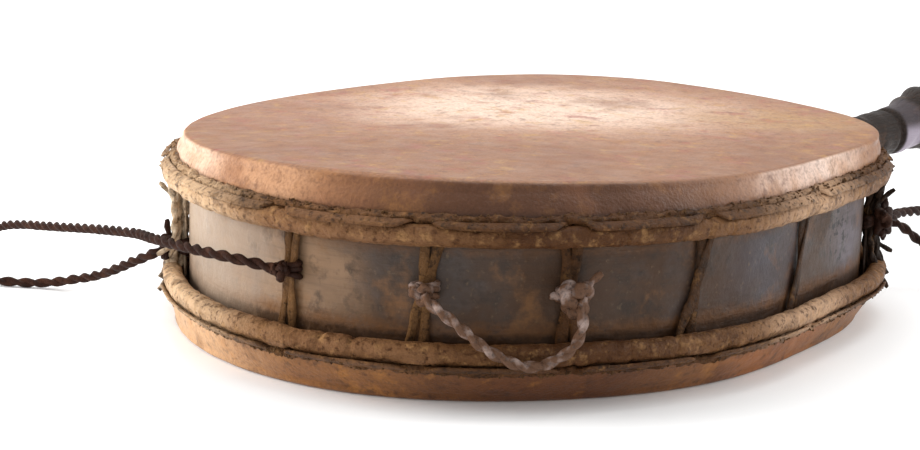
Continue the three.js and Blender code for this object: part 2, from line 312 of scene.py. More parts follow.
def smooth_path(points, spacing):
    """Points about the given spacing apart on a smooth curve through the route."""
    path = []
    count = len(points)
    for i in range(count - 1):
        p0 = points[i - 1] if i else points[0] * 2 - points[1]
        p1, p2 = points[i], points[i + 1]
        p3 = points[i + 2] if i + 2 < count else points[-1] * 2 - points[-2]
        steps = max(2, round((p2 - p1).length / spacing))
        for k in range(steps):
            t = k / steps
            path.append(0.5 * ((2 * p1) + (p2 - p0) * t + (2 * p0 - 5 * p1 + 4 * p2 - p3) * t * t
                               + (3 * p1 - p0 - 3 * p2 + p3) * t * t * t))
    path.append(points[-1].copy())
    return path


def path_length(path):
    return sum((b - a).length for a, b in zip(path, path[1:]))


def open_tube(name, path, first_side, radius, along, around, sides, material, centre=lambda i: (0, 0)):
    """A capped tube that doesn't twist: its radius and centre are functions of the step along the path, and
    along and around are its lengths and its usual radius in millimetres for UV."""
    rows = []
    side = first_side
    for i, point in enumerate(path):
        tangent = (path[min(i + 1, len(path) - 1)] - path[max(i - 1, 0)]).normalized()
        side = (side - tangent * side.dot(tangent)).normalized()
        lift = tangent.cross(side)
        x, y = centre(i)
        middle = point + side * x + lift * y
        reaches = [(turn, radius(i, turn)) for turn in turns(sides)]
        rows.append([middle + side * cos(turn) * reach + lift * sin(turn) * reach for turn, reach in reaches])
    return grid_mesh(name, rows, along, evenly(tau * around * MM, sides), False, material, caps=True)


def join_pieces(name, pieces):
    """One object from several made of one material."""
    work = bmesh.new()
    for piece in pieces:
        work.from_mesh(piece.data)
    mesh = bpy.data.meshes.new(name)
    work.to_mesh(mesh)
    work.free()
    material = pieces[0].data.materials[0]
    for piece in pieces:
        bpy.data.meshes.remove(piece.data)
    return finish_mesh(name, mesh, material)


def settle(piece):
    """The piece with the outcome of its modifiers as a plain mesh."""
    depsgraph = bpy.context.evaluated_depsgraph_get()
    mesh = bpy.data.meshes.new_from_object(piece.evaluated_get(depsgraph))
    piece.modifiers.clear()
    piece.data = mesh
    return piece


# Materials

# Sockets of the node that mixes colours, and settings of the nodes that mix them or range softly
MIX_FACTOR, MIX_A, MIX_B, MIX_RESULT = 0, 6, 7, 2
RGBA = {"data_type": "RGBA"}
SMOOTH = {"interpolation_type": "SMOOTHSTEP"}

# How far noise leads the edges of the soft patches astray, in millimetres
DRIFT = 40


def linear(code):
    """An sRGB hex value as the linear colour that a shader takes."""
    channels = [int(code[i:i + 2], 16) / 255 for i in (1, 3, 5)]
    return (*[c / 12.92 if c <= 0.04045 else ((c + 0.055) / 1.055) ** 2.4 for c in channels], 1)


def add(tree, kind, inputs, **settings):
    """A node, by default a shader's, with its settings and its inputs set or linked; gives its outputs."""
    made = tree.nodes.new(kind if "Node" in kind else f"ShaderNode{kind}")
    for name, value in settings.items():
        setattr(made, name, value)
    for key, value in inputs.items():
        if isinstance(value, bpy.types.NodeSocket):
            tree.links.new(value, made.inputs[key])
        else:
            made.inputs[key].default_value = value
    return made.outputs


def per_mm(size):
    """Texture scale on metres for a pattern of a real size in millimetres."""
    return 1000 / size


def new_material(name):
    material = bpy.data.materials.new(name)
    material.use_nodes = True
    tree = material.node_tree
    tree.nodes.clear()
    return material, tree


def wrap_up(tree, colour, roughness, bumps, specular):
    """Shader and output: bumps is a list of (height socket, distance in millimetres)."""
    normal = None
    for height, distance in bumps:
        inputs = {"Height": height, "Distance": distance * MM, "Strength": 1.0}
        if normal:
            inputs["Normal"] = normal
        normal = add(tree, "Bump", inputs)["Normal"]
    shader = add(tree, "BsdfPrincipled", {"Base Color": colour, "Roughness": roughness, "Normal": normal,
                                          "Specular IOR Level": specular})[0]
    add(tree, "OutputMaterial", {"Surface": shader})


def drifted(tree, place):
    """The place, led astray a little by noise so that patches get uneven edges."""
    cloud = add(tree, "TexNoise", {"Vector": place, "Scale": per_mm(30), "Detail": 3})["Color"]
    return add(tree, "VectorMath", {0: cloud, 1: [DRIFT * MM] * 3, 2: place}, operation="MULTIPLY_ADD")[0]


def near_spot(tree, drift, centre, reach, strength):
    """How much a place belongs to a soft-edged spot: its centre and reach are in millimetres."""
    middle = [(c + DRIFT / 2) * MM for c in centre]
    near = add(tree, "VectorMath", {0: drift, 1: middle}, operation="SUBTRACT")[0]
    near = add(tree, "VectorMath", {0: near, 1: [r * MM for r in reach]}, operation="DIVIDE")[0]
    far = add(tree, "VectorMath", {0: near}, operation="LENGTH")["Value"]
    return add(tree, "MapRange", {"Value": far, 1: 1.0, 2: 0.25, 4: strength}, **SMOOTH)[0]


def paint_spots(tree, colour, place, spots):
    """Soft-edged patches of other tones: centre and reach in millimetres, colour and strength."""
    drift = drifted(tree, place)
    for centre, reach, code, strength in spots:
        share = near_spot(tree, drift, centre, reach, strength)
        colour = add(tree, "Mix", {MIX_FACTOR: share, MIX_A: colour, MIX_B: linear(code)}, **RGBA)[MIX_RESULT]
    return colour


def paint_noise(tree, colour, place, layers):
    """Layers of mottling: pattern size in millimetres, detail, where it starts and ends, colour, strength."""
    for size, detail, start, end, code, strength in layers:
        value = add(tree, "TexNoise",
                    {"Vector": place, "Scale": per_mm(size), "Detail": detail, "Roughness": 0.65})[0]
        share = add(tree, "MapRange", {"Value": value, 1: start, 2: end, 4: strength})[0]
        colour = add(tree, "Mix", {MIX_FACTOR: share, MIX_A: colour, MIX_B: linear(code)}, **RGBA)[MIX_RESULT]
    return colour


def paint_dirt(tree, colour, place, grit, grit_range, bands):
    """Gritty dirt in bands: the heights where it starts and is full in millimetres, colour and strength."""
    height = add(tree, "SeparateXYZ", {"Vector": place})["Z"]
    least, most = grit_range
    for start, end, code, strength in bands:
        edge = add(tree, "MapRange", {"Value": height, 1: start * MM, 2: end * MM}, **SMOOTH)[0]
        dirt = add(tree, "Math", {0: edge, 1: grit}, operation="MULTIPLY")[0]
        dirt = add(tree, "MapRange", {"Value": dirt, 1: least, 2: most, 4: strength})[0]
        colour = add(tree, "Mix", {MIX_FACTOR: dirt, MIX_A: colour, MIX_B: linear(code)}, **RGBA)[MIX_RESULT]
    return colour


def hide_material(name, base, spots, skirt_spots, crease, head_layers, layers, dirt_height, gloss):
    # Rawhide: scraped, dried skin; mottled brown with a fine pebbled grain, and satin where it is taut
    material, tree = new_material(name)
    coordinates = add(tree, "TexCoord", {})
    place = coordinates["Object"]
    patch, grain, dents, grit = (
        add(tree, "TexNoise",
            {"Vector": place, "Scale": per_mm(size), "Detail": detail, "Roughness": roughness})[0]
        for size, detail, roughness in ((16, 3, 0.5), (1.7, 3, 0.6), (12, 4, 0.5), (4, 5, 0.7)))
    skirt_colour = paint_spots(tree, linear(base), place, skirt_spots)
    colour = paint_noise(tree, paint_spots(tree, linear(base), place, spots), place, head_layers)
    # UV runs across the hide along the head's outline: below its crease the skirt has its own tones, among
    # them painted shade and painted highlights
    across = add(tree, "SeparateXYZ", {"Vector": coordinates["UV"]})["Y"]
    below = add(tree, "MapRange", {"Value": across, 1: crease + 0.8 * MM, 2: crease - 1.2 * MM}, **SMOOTH)[0]
    colour = add(tree, "Mix", {MIX_FACTOR: below, MIX_A: colour, MIX_B: skirt_colour}, **RGBA)[MIX_RESULT]
    colour = paint_noise(tree, colour, place, layers)
    # Dirt in the groove beside the hoop
    colour = paint_dirt(tree, colour, place, grit, (0.15, 0.6), [(*dirt_height, "#2c1b10", 0.9)])
    rough = add(tree, "MapRange", {"Value": patch, 1: 0.3, 2: 0.7, 3: gloss, 4: gloss + 0.16})[0]
    wrap_up(tree, colour, rough, [(dents, 1.0), (grain, 0.5)], specular=0.38)
    return material


def shell_material():
    # Bent wood: a thin steamed board rubbed by hands; grain runs round the drum, satin with grey bloom, and a
    # blue-grey sheen painted at the right
    material, tree = new_material("bent_wood")
    coordinates = add(tree, "TexCoord", {})
    place = coordinates["Object"]
    stretched = add(tree, "Mapping", {"Vector": coordinates["UV"], "Scale": (1, 12, 1)})[0]
    grain, cloud, grit = (
        add(tree, "TexNoise",
            {"Vector": source, "Scale": per_mm(size), "Detail": detail, "Roughness": roughness})[0]
        for source, size, detail, roughness in (
            (stretched, 26, 6, 0.62), (place, 24, 4, 0.6), (place, 5, 5, 0.7)))
    colour = paint_spots(tree, linear("#412a17"), place, [
        ((-195, -40, 57), (80, 180, 90), "#a6917c", 1.0), ((-125, -160, 57), (75, 70, 90), "#93755a", 0.85),
        # At the right the board is blue-grey, partly its own grey and partly a painted sheen
        ((-60, -215, 70), (55, 40, 34), "#3f3a36", 0.4), ((150, -150, 60), (70, 70, 42), "#40404a", 0.85),
        ((195, -70, 60), (45, 80, 44), "#75717c", 0.9), ((70, -215, 45), (50, 40, 26), "#2b2622", 0.6),
        ((200, 60, 57), (60, 100, 60), "#66543f", 0.7), ((0, 200, 57), (160, 80, 60), "#59452f", 0.6)])
    colour = paint_noise(tree, colour, place, [
        (46, 5, 0.52, 0.64, "#4d4a4c", 0.35), (30, 5, 0.54, 0.66, "#7d532a", 0.55),
        (12, 5, 0.53, 0.66, "#24170c", 0.7), (3, 4, 0.6, 0.75, "#8b7050", 0.35)])
    streak = add(tree, "MapRange", {"Value": grain, 1: 0.5, 2: 0.75, 4: 0.35})[0]
    colour = add(tree, "Mix", {MIX_FACTOR: streak, MIX_A: colour, MIX_B: linear("#2d231b")},
                 **RGBA)[MIX_RESULT]
    # Brown dirt gathers beside the hoops, and the board is darkest right against them
    lower_edge = LOWER_HOOP_HEIGHT + HOOP_RADIUS
    upper_edge = UPPER_HOOP_HEIGHT - HOOP_RADIUS
    colour = paint_dirt(tree, colour, place, grit, (0.22, 0.5), [
        (lower_edge + 17, lower_edge + 1, "#65401f", 0.7), (upper_edge - 13, upper_edge, "#65401f", 0.55),
        (lower_edge + 7, lower_edge - 1, "#20130a", 0.72), (upper_edge - 7, upper_edge + 1, "#20130a", 0.9)])
    colour = paint_spots(tree, colour, place, [((-175, -110, 57), (80, 110, 60), "#a08c79", 0.75)])
    # Scratches and knocks in the rubbed face at the right
    marked = paint_noise(tree, colour, place, [(5, 6, 0.52, 0.55, "#120d0a", 1.0)])
    share = near_spot(tree, drifted(tree, place), (170, -58, 64), (36, 32, 28), 1.0)
    colour = add(tree, "Mix", {MIX_FACTOR: share, MIX_A: colour, MIX_B: marked}, **RGBA)[MIX_RESULT]
    rough = add(tree, "MapRange", {"Value": cloud, 1: 0.35, 2: 0.65, 3: 0.62, 4: 0.38})[0]
    wrap_up(tree, colour, rough, [(cloud, 1.4), (grain, 0.3), (grit, 0.6)], specular=0.33)
    return material


def rawhide_material(name, base, spots, dark, pale, roughness, size):
    # Rawhide strip or rolled hide: fibrous and stiff, pale where it is rubbed, dirt in its pits and cracks
    material, tree = new_material(name)
    place = add(tree, "TexCoord", {})["Object"]
    colour = paint_spots(tree, linear(base), place, spots)
    colour = paint_noise(tree, colour, place, [
        (14 * size, 5, 0.5, 0.68, dark, 0.7), (6 * size, 5, 0.54, 0.7, pale, 0.55),
        (3.2 * size, 5, 0.52, 0.66, dark, 0.85)])
    pits, fibre = (
        add(tree, "TexNoise",
            {"Vector": place, "Scale": per_mm(across * size), "Detail": detail, "Roughness": crispness})[0]
        for across, detail, crispness in ((3.4, 5, 0.7), (1.2, 3, 0.6)))
    rough = add(tree, "MapRange", {"Value": pits, 1: 0.3, 2: 0.7, 3: roughness - 0.2, 4: roughness})[0]
    wrap_up(tree, colour, rough, [(pits, 2.0 * size), (fibre, 0.5 * size)], specular=0.16)
    return material


def cord_material(name, base, pale, dark, roughness):
    # Twisted rawhide: thin strips wet-twisted and dried, near black in the lay, with grey mottling that is
    # partly rubbed wear and partly painted highlights
    material, tree = new_material(name)
    place = add(tree, "TexCoord", {})["Object"]
    colour = paint_noise(tree, linear(base), place, [
        (8, 4, 0.5, 0.7, pale, 0.9), (2, 4, 0.52, 0.68, dark, 0.8)])
    pits = add(tree, "TexNoise", {"Vector": place, "Scale": per_mm(2.2), "Detail": 4, "Roughness": 0.65})[0]
    wrap_up(tree, colour, roughness, [(pits, 0.9)], specular=0.15)
    return material


def handle_material():
    # Dark hardwood, carved and blackened by hands and smoke: satin, with a highlight painted on one length
    material, tree = new_material("dark_carved_wood")
    place = add(tree, "TexCoord", {})["Object"]
    turned = add(tree, "Mapping", {"Vector": place, "Rotation": (0, 0, HANDLE_ANGLE)},
                 vector_type="TEXTURE")[0]
    stretched = add(tree, "Mapping", {"Vector": turned, "Scale": (1, 9, 9)})[0]
    grain = add(tree, "TexNoise",
                {"Vector": stretched, "Scale": per_mm(20), "Detail": 5, "Roughness": 0.6})[0]
    share = add(tree, "MapRange", {"Value": grain, 1: 0.45, 2: 0.75, 4: 0.6})[0]
    colour = add(tree, "Mix", {MIX_FACTOR: share, MIX_A: linear("#1e130c"), MIX_B: linear("#33241c")},
                 **RGBA)[MIX_RESULT]
    colour = paint_noise(tree, colour, place, [
        (14, 4, 0.54, 0.68, "#4b3628", 0.6), (5, 4, 0.54, 0.68, "#0e0907", 0.8)])
    # A painted highlight: a paler length between the ring and the carved head, mostly on its underside
    root, along = handle_axes()[:2]
    distance = add(tree, "VectorMath", {0: place, 1: along}, operation="DOT_PRODUCT")["Value"]
    reach = add(tree, "Math", {0: distance, 1: root.dot(along)}, operation="SUBTRACT")[0]
    height = add(tree, "SeparateXYZ", {"Vector": place})["Z"]
    axis_height = (root + along * 197 * MM)[2]
    painted_highlight = 1.0
    for value, nothing, full, least, most in (
            (reach, 187 * MM, 190 * MM, 0, 1), (reach, 214 * MM, 206 * MM, 0, 0.85),
            (height, axis_height + 8 * MM, axis_height - 1 * MM, 0.12, 1)):
        share = add(tree, "MapRange", {"Value": value, 1: nothing, 2: full, 3: least, 4: most}, **SMOOTH)[0]
        painted_highlight = add(tree, "Math", {0: painted_highlight, 1: share}, operation="MULTIPLY")[0]
    colour = add(tree, "Mix", {MIX_FACTOR: painted_highlight, MIX_A: colour, MIX_B: linear("#a197a4")}, **RGBA)[MIX_RESULT]
    rough = add(tree, "MapRange", {"Value": grain, 1: 0.3, 2: 0.7, 3: 0.32, 4: 0.5})[0]
    wrap_up(tree, colour, rough, [(grain, 1.6)], specular=0.12)
    return material


def stage_material():
    # Pale matt surface under the drum; a little light of its own keeps it as white as the background
    material, tree = new_material("pale_floor")
    shader = add(tree, "BsdfPrincipled",
                 {"Base Color": (0.93, 0.93, 0.93, 1), "Roughness": 0.9, "Specular IOR Level": 0.1,
                  "Emission Color": (1, 1, 1, 1), "Emission Strength": 0.07})[0]
    add(tree, "OutputMaterial", {"Surface": shader})
    return material


# Pieces of the drum body

# Points in the head's outline over its bend and down its skirt, and round the drum on each kind of ring
BEND_STEPS = 6
SKIRT_STEPS = 12
HEAD_STEPS = 480
HOOP_STEPS = 1100
EDGE_STEPS = 1300


def arc_points(centre_radius, centre_height, radius, start, end, steps):
    points = []
    for i in range(steps + 1):
        turn = radians(start + (end - start) * i / steps)
        points.append((centre_radius + radius * cos(turn), centre_height + radius * sin(turn)))
    return points


def head_face(inset, foot_height, arc_steps, skirt_steps, flat_steps):
    """One face of a head from its skirt's foot to its middle, inset by the hide's thickness or not."""
    radius = HEAD_ROUNDING - inset
    bend = arc_points(HEAD_FLAT, DRUM_HEIGHT - HEAD_ROUNDING, radius, degrees(SKIRT_FLARE), 90, arc_steps)
    drop = (bend[0][1] - foot_height) / cos(SKIRT_FLARE)
    drops = [drop * (1 - i / skirt_steps) for i in range(skirt_steps)]
    skirt = [(bend[0][0] + down * sin(SKIRT_FLARE), bend[0][1] - down * cos(SKIRT_FLARE)) for down in drops]
    flat = [(HEAD_FLAT * (1 - i / flat_steps), DRUM_HEIGHT - inset) for i in range(1, flat_steps + 1)]
    return skirt + bend + flat


def head_profile(hoop_drop):
    """The head's outline as (radius, height), from inside to outside; and where its outside starts."""
    foot_height = DRUM_HEIGHT - hoop_drop + HOOP_RADIUS + SKIRT_CLEARANCE
    inside = head_face(HIDE_THICKNESS, foot_height, 3, 4, 4)
    outside = head_face(0, foot_height, BEND_STEPS, SKIRT_STEPS, 22)
    return list(reversed(inside)) + outside, len(inside)


def crease_length(hoop_drop):
    """Length along the head's outline to the middle of its bend."""
    profile, outside = head_profile(hoop_drop)
    return lengths_of(profile)[outside + SKIRT_STEPS + BEND_STEPS // 2]


def make_head(name, hoop_drop, upside_down, material):
    """A stretched head: ragged at its foot, dented on its skirt, rolled over the shell's edge."""
    profile, outside = head_profile(hoop_drop)
    seed = 2 if upside_down else 1

    def shift(angle, j, radius, height):
        is_outside = j >= outside
        ragged = waver(seed, angle * 60, 2.2) * 0.9 + waver(seed + 5, angle * 60, 9) * 0.7
        skirt_share = max(0, min(1, (DRUM_HEIGHT - HEAD_ROUNDING - height) / max(1, hoop_drop - 12)))
        lowered = height + ragged * skirt_share ** 3
        bulge = 0
        x, y = radius * cos(angle), radius * sin(angle)
        if is_outside and skirt_share > 0:
            bulge = 0.7 * wander(seed + 2, (x, y, height), 24) + 0.35 * wander(seed + 3, (x, y, height), 7)
            bulge += 1.1 * sin(pi * min(1, skirt_share))
        if is_outside and radius < HEAD_FLAT + 1 and not upside_down:
            lowered += 0.3 * wander(seed + 4, (x, y, 0), 45) - 0.5 * exp(-((HEAD_FLAT - 5 - radius) / 3) ** 2)
        if is_outside and HEAD_FLAT + 0.5 < radius and height > DRUM_HEIGHT - HEAD_ROUNDING - 0.5:
            corner = atan2(height - DRUM_HEIGHT + HEAD_ROUNDING, radius - HEAD_FLAT)
            bulge += 0.7 * sin(2 * corner) * (1 + 0.5 * waver(seed + 6, angle * 200, 14))
        return radius + bulge, lowered

    def place(radius, angle, height):
        return on_rims(radius, angle, DRUM_HEIGHT - height if upside_down else height)

    return ring_piece(name, profile, HEAD_STEPS, shift, material, place)


def make_shell(material):
    """The bent board, with the hole that the handle's tenon goes through."""
    edge = DRUM_HEIGHT - HIDE_THICKNESS - SEAT_GAP
    foot = HIDE_THICKNESS + SEAT_GAP
    upper = arc_points(HEAD_FLAT, edge - SHELL_ROUNDING, SHELL_ROUNDING, 0, 90, 4)
    lower = arc_points(HEAD_FLAT, foot + SHELL_ROUNDING, SHELL_ROUNDING, -90, 0, 4)
    wall = [(SHELL_OUTER, lower[-1][1] + (upper[0][1] - lower[-1][1]) * i / 26) for i in range(1, 26)]
    inner = SHELL_OUTER - SHELL_THICKNESS
    profile = [(inner, foot)] + lower + wall + upper
    profile += [(inner, edge), (inner, UPPER_FOOT), (inner, DRUM_HEIGHT / 2), (inner, LOWER_FOOT)]

    def shift(angle, j, radius, height):
        if radius < SHELL_OUTER - 0.5:
            return radius, height
        place = (radius * cos(angle), radius * sin(angle), height * 2)
        return radius - 0.25 + 0.25 * wander(11, place, 30), height

    shell = ring_piece("shell_board", profile, HEAD_STEPS, shift, material, on_rims)
    bore = TENON_RADIUS + 0.5
    cutter = handle_lathe("tenon_cutter", [(0, -18), (bore, -18), (bore, 12), (0, 12)], 48, None, material)
    cut = shell.modifiers.new("tenon_hole", "BOOLEAN")
    cut.object = cutter
    cut.operation = "DIFFERENCE"
    cut.solver = "EXACT"
    settle(shell)
    bpy.data.objects.remove(cutter)
    return shell


def make_hoop(name, height, seed, material):
    """Hide rolled round a hoop: its overlap wanders along the side, and dry cracks run across it."""
    sides = 30
    profile = [(DRUM_RADIUS + HOOP_RADIUS * cos(turn), height + HOOP_RADIUS * sin(turn))
               for turn in turns(sides)]
    rng = random.Random(seed)
    cracks = [(rng.uniform(0, tau), rng.uniform(0.4, 1.1), rng.uniform(-1.2, 1.2)) for i in range(64)]

    def shift(angle, j, radius, level):
        turn = tau * j / sides
        place = (angle * DRUM_RADIUS, 12 * cos(turn), 12 * sin(turn))
        relief = 0.8 * wander(seed, place, 22) + 0.55 * wander(seed + 1, place, 6)
        relief += 0.3 * wander(seed + 2, place, 2.5)
        lap = 0.35 + 0.9 * waver(seed + 3, angle * DRUM_RADIUS, 40)
        relief += 0.45 - 0.9 * ((turn - lap) % tau) / tau
        near = 9
        for crack, width, slant in cracks:
            gap = abs(turn_between(angle, crack))
            if gap < 0.03:
                near = min(near, abs(gap * DRUM_RADIUS + slant * sin(turn)) / width)
        relief -= 0.8 * exp(-near ** 2)
        reach = min(HOOP_RADIUS - 0.3 + relief, HOOP_RADIUS + 0.55)
        return DRUM_RADIUS + reach * cos(turn), height + reach * sin(turn)

    return ring_piece(name, profile, HOOP_STEPS, shift, material)


def make_torn_edge(name, height, seed, material):
    """The ragged edge of a head's hide, rolled up in the groove between its skirt and the hoop."""
    sides = 12
    middle = DRUM_RADIUS - 1.2
    profile = [(middle + 2.6 * cos(turn), height + 2.2 * sin(turn)) for turn in turns(sides)]

    def shift(angle, j, radius, level):
        place = (angle * DRUM_RADIUS, 6 * (radius - middle), 6 * (level - height))
        scale = 1.05 + 0.55 * wander(seed, place, 12) + 0.75 * wander(seed + 1, place, 4)
        sway = 0.9 * waver(seed + 2, angle * DRUM_RADIUS, 16)
        return middle + (radius - middle) * scale + 0.6 * sway, height + (level - height) * scale + sway

    return ring_piece(name, profile, EDGE_STEPS, shift, material)


def crumb_tree(material):
    """Crumbs of hide and dirt stuck on a surface; the tree's inputs are their size, density and seed."""
    tree = bpy.data.node_groups.new("stuck_crumbs", "GeometryNodeTree")
    for name, way, kind in (("Geometry", "INPUT", "Geometry"), ("Crumb Size", "INPUT", "Float"),
                            ("Density", "INPUT", "Float"), ("Seed", "INPUT", "Int"),
                            ("Geometry", "OUTPUT", "Geometry")):
        tree.interface.new_socket(name, in_out=way, socket_type=f"NodeSocket{kind}")
    given = add(tree, "NodeGroupInput", {})
    points = add(tree, "GeometryNodeDistributePointsOnFaces",
                 {"Mesh": given["Geometry"], "Density": given["Density"], "Seed": given["Seed"]})["Points"]
    crumb = add(tree, "GeometryNodeMeshIcoSphere", {"Radius": given["Crumb Size"], "Subdivisions": 1})["Mesh"]
    turn, size = (add(tree, "FunctionNodeRandomValue", {0: least, 1: most, "Seed": given["Seed"]},
                      data_type="FLOAT_VECTOR")[0]
                  for least, most in (((0, 0, 0), (6.28, 6.28, 6.28)), ((0.35, 0.3, 0.3), (1.7, 1.0, 0.8))))
    placed = add(tree, "GeometryNodeInstanceOnPoints",
                 {"Points": points, "Instance": crumb, "Rotation": turn, "Scale": size})[0]
    real = add(tree, "GeometryNodeRealizeInstances", {"Geometry": placed})[0]
    dressed = add(tree, "GeometryNodeSetMaterial", {"Geometry": real, "Material": material})[0]
    add(tree, "NodeGroupOutput", {0: dressed})
    return tree


def make_crumbs(name, surface, tree, size, density, seed):
    """Crumbs on a piece's surface, as a plain mesh of their own."""
    piece = put(name, surface.data.copy())
    scatter = piece.modifiers.new("crumbs", "NODES")
    scatter.node_group = tree
    sockets = {item.name: item.identifier for item in tree.interface.items_tree if item.in_out == "INPUT"}
    scatter[sockets["Crumb Size"]] = size * MM
    scatter[sockets["Density"]] = density
    scatter[sockets["Seed"]] = seed
    return settle(piece)


def flat_section(width, thickness):
    """A flat strip's section, rounded at its edges and a little crowned, as (across, up) points."""
    half = width / 2
    points = []
    for face in (-1, 1):
        for j in range(7):
            across = face * (half - width * j / 6)
            edge = 1 - abs(across / half) ** 4
            crown = 0.14 * edge if face > 0 else 0
            points.append((across, face * thickness / 2 * (0.25 + 0.75 * edge) + crown))
    return points


def make_thong(name, hoop_height, side, seed, material):
    """The strip that runs along a hoop and dives behind it at each lace."""
    section = flat_section(THONG_WIDTH, THONG_THICKNESS * 0.85)
    rows = []
    for angle in turns(THONG_STEPS):
        dive = exp(-(lace_distance(angle) / 5.5) ** 2)
        turn = THONG_TURN + dive * THONG_DIVE + 0.08 * waver(seed, angle * 40, 3)
        out = (cos(turn), side * sin(turn))
        along = (sin(turn), -side * cos(turn))
        reach = HOOP_RADIUS + SEAT_GAP + THONG_THICKNESS / 2 - 0.9 * dive
        width = 1 + 0.16 * waver(seed + 1, angle * 40, 2.5) - 0.35 * dive
        row = []
        for across, up in section:
            radius = DRUM_RADIUS + out[0] * (reach + up) + along[0] * across * width
            level = hoop_height + out[1] * (reach + up) + along[1] * across * width
            ripple = 0.2 * wander(seed + 2, (angle * DRUM_RADIUS, across, up), 4)
            row.append(on_drum(radius + ripple, angle, level))
        rows.append(row)
    return grid_mesh(name, rows, evenly(tau * DRUM_RADIUS * MM, THONG_STEPS), lengths_of(section), True,
                     material)


# How far each kind's strands lie from its middle at the top, and at the bottom or at the waist if it has one,
# in millimetres, and whether it is drawn in to a waist
LACE_KINDS = {
    "tied": (4.2, 1.2, True), "crossed": (4.5, -5.5, False),
    "twin": (3.6, 3.4, False), "outer": (4.5, 2.0, True),
}
STRAND_THICKNESS = 1.5
STRAND_STEPS = 44
# How far the strands run past the middles of the hoops, in millimetres
STRAND_PAST = 2.6
OUTER_STRAND_PAST = 3

# Twisted strands over the outside of the hoops: shift along the rim above and below, reach at the hoops and
# slack between them, in millimetres
OUTER_STRANDS = [(-7, 3, 7.6, 1.0), (2, -6, 7.2, 3.5), (7, 4, 7.6, 0.0), (-2, 7, 7.0, 2.2), (-6, 5, 6.0, 6.3),
                 (6, -5, 6.0, 6.2), (0, 1, 6.4, 5.4)]
OUTER_STRAND_RADIUS = 1.7
OUTER_STRAND_STEPS = 60
OUTER_STRAND_SIDES = 12
# Their cut tails: shift along the rim, reach, height in millimetres, and rise of the tail
OUTER_TAILS = [(4, 2, LOWER_HOOP_HEIGHT - 2, -1.6), (-4, -1, 70, 0.8), (6, -2, 44, -0.5)]


def make_strand(name, centre_angle, lean, across_at, radius_at, width, material, seed):
    """One flat strand from hoop to hoop; its shift across and its radius go by the share of its height."""
    top = UPPER_HOOP_HEIGHT + STRAND_PAST
    bottom = LOWER_HOOP_HEIGHT - STRAND_PAST
    path = []
    normals = []
    for i in range(STRAND_STEPS + 1):
        share = i / STRAND_STEPS
        height = bottom + (top - bottom) * share
        across = across_at(share) + 0.6 * waver(seed, height, 16) + lean * (2 * share - 1)
        angle = centre_angle + across / DRUM_RADIUS
        path.append(on_drum(radius_at(share), angle, height))
        normals.append(outward_at(angle))
    phase = seed * 1.7
    rows = []
    for i, (point, normal) in enumerate(zip(path, normals)):
        tangent = (path[min(i + 1, STRAND_STEPS)] - path[max(i - 1, 0)]).normalized()
        normal = (normal - tangent * normal.dot(tangent)).normalized()
        across = tangent.cross(normal)
        spin = 0.22 * sin(i * 0.16 + phase)
        across, normal = (across * cos(spin) + normal * sin(spin),
                          normal * cos(spin) - across * sin(spin))
        here = width * (1 + 0.16 * sin(i * 0.35 + phase) + 0.12 * waver(seed + 1, i, 4))
        section = flat_section(here, STRAND_THICKNESS)
        rows.append([point + across * a * MM + normal * up * MM for a, up in section])
    return grid_mesh(name, rows, evenly(path_length(path), STRAND_STEPS),
                     lengths_of(flat_section(width, STRAND_THICKNESS)), False, material, caps=True)


def make_outer_strands(name, number, middle_angle, material):
    """Loose twisted strands over the outside of both hoops, and their cut tails."""
    bottom = LOWER_HOOP_HEIGHT - OUTER_STRAND_PAST
    strands = []
    for k, (above, below, reach, slack) in enumerate(OUTER_STRANDS):
        path = []
        for i in range(OUTER_STRAND_STEPS + 1):
            share = i / OUTER_STRAND_STEPS
            across = below + (above - below) * share + 0.8 * waver(k + number, i, 11)
            radius = DRUM_RADIUS + reach * (2 * abs(share - 0.5)) ** 2.4 - slack - 1.5
            level = bottom + (UPPER_HOOP_HEIGHT - LOWER_HOOP_HEIGHT + 2 * OUTER_STRAND_PAST) * share
            path.append(on_drum(radius, middle_angle + across / DRUM_RADIUS, level))

        def radius_at(i, turn):
            twist = 0.3 * cos(2 * (turn - 0.35 * i)) + 0.2 * wander(k, (i, turn, 0), 4)
            return OUTER_STRAND_RADIUS * MM * (1 + twist)

        along = evenly(path_length(path), OUTER_STRAND_STEPS)
        strands.append(open_tube(f"{name}_outer_{k}", path, outward_at(middle_angle), radius_at, along,
                                 OUTER_STRAND_RADIUS, OUTER_STRAND_SIDES, material))
    for k, (across, reach, height, rise) in enumerate(OUTER_TAILS):
        angle = middle_angle + across / DRUM_RADIUS
        strands.append(stub(f"{name}_tail_{k}", on_drum(DRUM_RADIUS + reach, angle, height),
                            outward_at(angle) + Vector((0, 0, rise)), 10 + k, 1.8, material, number * 3 + k))
    return strands


def make_lace(number, at, lean, kind, material):
    """Two strands of thong between the hoops, crossing or lying side by side, and loose ones outside."""
    name = f"lace_thongs_{number + 1:02d}"
    rng = random.Random(100 + number)
    upper_spread, other_spread, has_waist = LACE_KINDS[kind]
    strands = []
    for hand in (-1, 1):
        def across_at(share):
            rise = abs(2 * share - 1) ** 1.2 if has_waist else share
            return hand * (other_spread + (upper_spread - other_spread) * rise)

        def radius_at(share):
            layer = 0.45 * hand if kind == "crossed" else 0
            return LACE_INNER + LACE_THICKNESS / 2 + 0.35 * sin(pi * share) + layer

        width = LACE_STRAND_WIDTH * (0.74 + 0.2 * rng.random())
        strands.append(make_strand(f"{name}_{hand}", radians(at), lean, across_at, radius_at, width, material,
                                   number * 5 + hand))
    if kind == "outer":
        strands += make_outer_strands(name, number, radians(at), material)
    return join_pieces(name, strands)


# Handle

